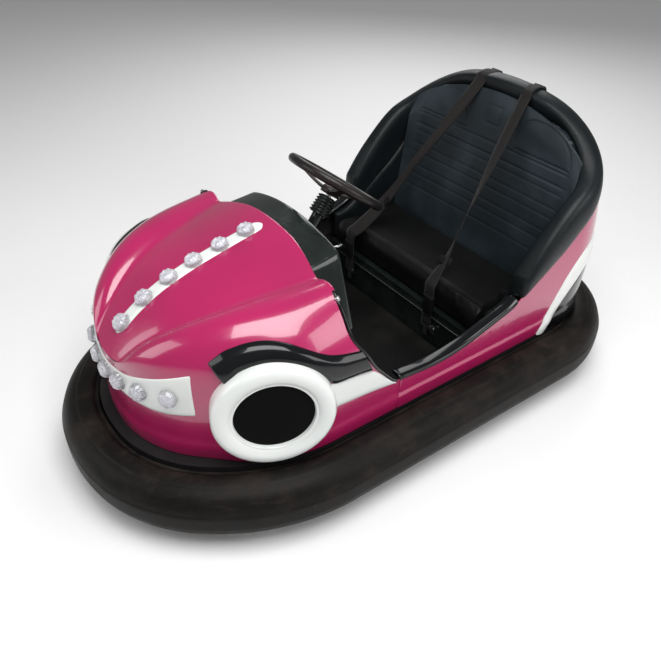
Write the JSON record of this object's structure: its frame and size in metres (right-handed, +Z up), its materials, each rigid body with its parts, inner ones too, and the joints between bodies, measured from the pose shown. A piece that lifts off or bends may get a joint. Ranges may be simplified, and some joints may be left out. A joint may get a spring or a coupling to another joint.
{
  "type": "two-seat bumper car",
  "caption": "Two-seat fairground bumper car with a moulded body, padded bench, steering wheel and a rubber bumper ring all round.",
  "frame": {"origin": "on the ground under the middle of the bumper tyre", "axes": "+Z up, nose towards -Y, the driver's left towards +X"},
  "size_m": [1.16, 2.022, 0.9827],
  "materials": {
    "body_gloss": "gloss",
    "white_gloss": "gloss",
    "black_gloss": "gloss",
    "bumper_rubber": "dusty, worn",
    "wheel_rubber": "matte",
    "seat_vinyl": "soft sheen",
    "floor_mat": "textured",
    "frame_steel": "satin",
    "bare_steel": "satin",
    "cast_iron": "rough",
    "matte_black": "matte",
    "lamp_clear": "clear",
    "webbing": "woven"
  },
  "bodies": {
    "car": {"bumper_tyre": "bumper_rubber", "rim_band": "frame_steel", "chassis_frame": "frame_steel", "front_cowl": "body_gloss", "rear_body": "body_gloss", "rim_pad": "seat_vinyl", "floor_pan": "frame_steel", "floor_mat": "floor_mat", "bulkhead": "matte_black", "seat_box": "matte_black", "seat_base_cushion": "seat_vinyl", "seat_back_cushion": "seat_vinyl", "side_liners": "seat_vinyl", "dash_cover": "black_gloss", "column_tube": "frame_steel", "column_boot": "matte_black", "swivel_bridge": "frame_steel", "axle_brackets": "frame_steel", "battery_pack": "matte_black", "foot_pedal": "frame_steel", "hood_light_strip": "white_gloss", "nose_light_panel": "white_gloss", "side_stripes": "white_gloss", "fender_strips": "black_gloss", "hood_lamps": "lamp_clear", "nose_lamps": "lamp_clear", "false_tyres": "white_gloss", "false_hubs": "black_gloss", "sill_caps": "black_gloss", "edge_trims": "black_gloss", "tail_border": "white_gloss", "tail_panel": "black_gloss", "seat_belts": "webbing", "belt_tongues": "bare_steel"},
    "steering": {"steering_wheel": "matte_black", "steering_shaft": "bare_steel"},
    "drive_unit": {"drive_fork": "frame_steel", "drive_motor": "cast_iron"},
    "drive_wheel": {"drive_wheel_tyre": "wheel_rubber", "drive_wheel_hub": "cast_iron"},
    "rear_wheel_left": {"rear_wheel_left_tyre": "wheel_rubber", "rear_wheel_left_hub": "cast_iron"},
    "rear_wheel_right": {"rear_wheel_right_tyre": "wheel_rubber", "rear_wheel_right_hub": "cast_iron"}
  },
  "joints": [
    {"name": "drive_turn", "type": "hinge", "parent": "car", "child": "drive_unit", "pos_m": [0, -0.545, 0.2], "axis": [0, 0, 1], "continuous": true},
    {"name": "steering_turn", "type": "hinge", "parent": "car", "child": "steering", "pos_m": [0, -0.053, 0.7885], "axis": [0, 0.592, 0.8059], "continuous": true},
    {"name": "drive_wheel_spin", "type": "hinge", "parent": "drive_unit", "child": "drive_wheel", "pos_m": [0, -0.545, 0.082], "axis": [1, 0, 0], "continuous": true},
    {"name": "rear_wheel_left_spin", "type": "hinge", "parent": "car", "child": "rear_wheel_left", "pos_m": [0.33, 0.52, 0.082], "axis": [1, 0, 0], "continuous": true},
    {"name": "rear_wheel_right_spin", "type": "hinge", "parent": "car", "child": "rear_wheel_right", "pos_m": [-0.33, 0.52, 0.082], "axis": [1, 0, 0], "continuous": true}
  ],
  "couplings": [
    {"joint": "steering_turn", "follows": "drive_turn", "ratio": 1}
  ]
}
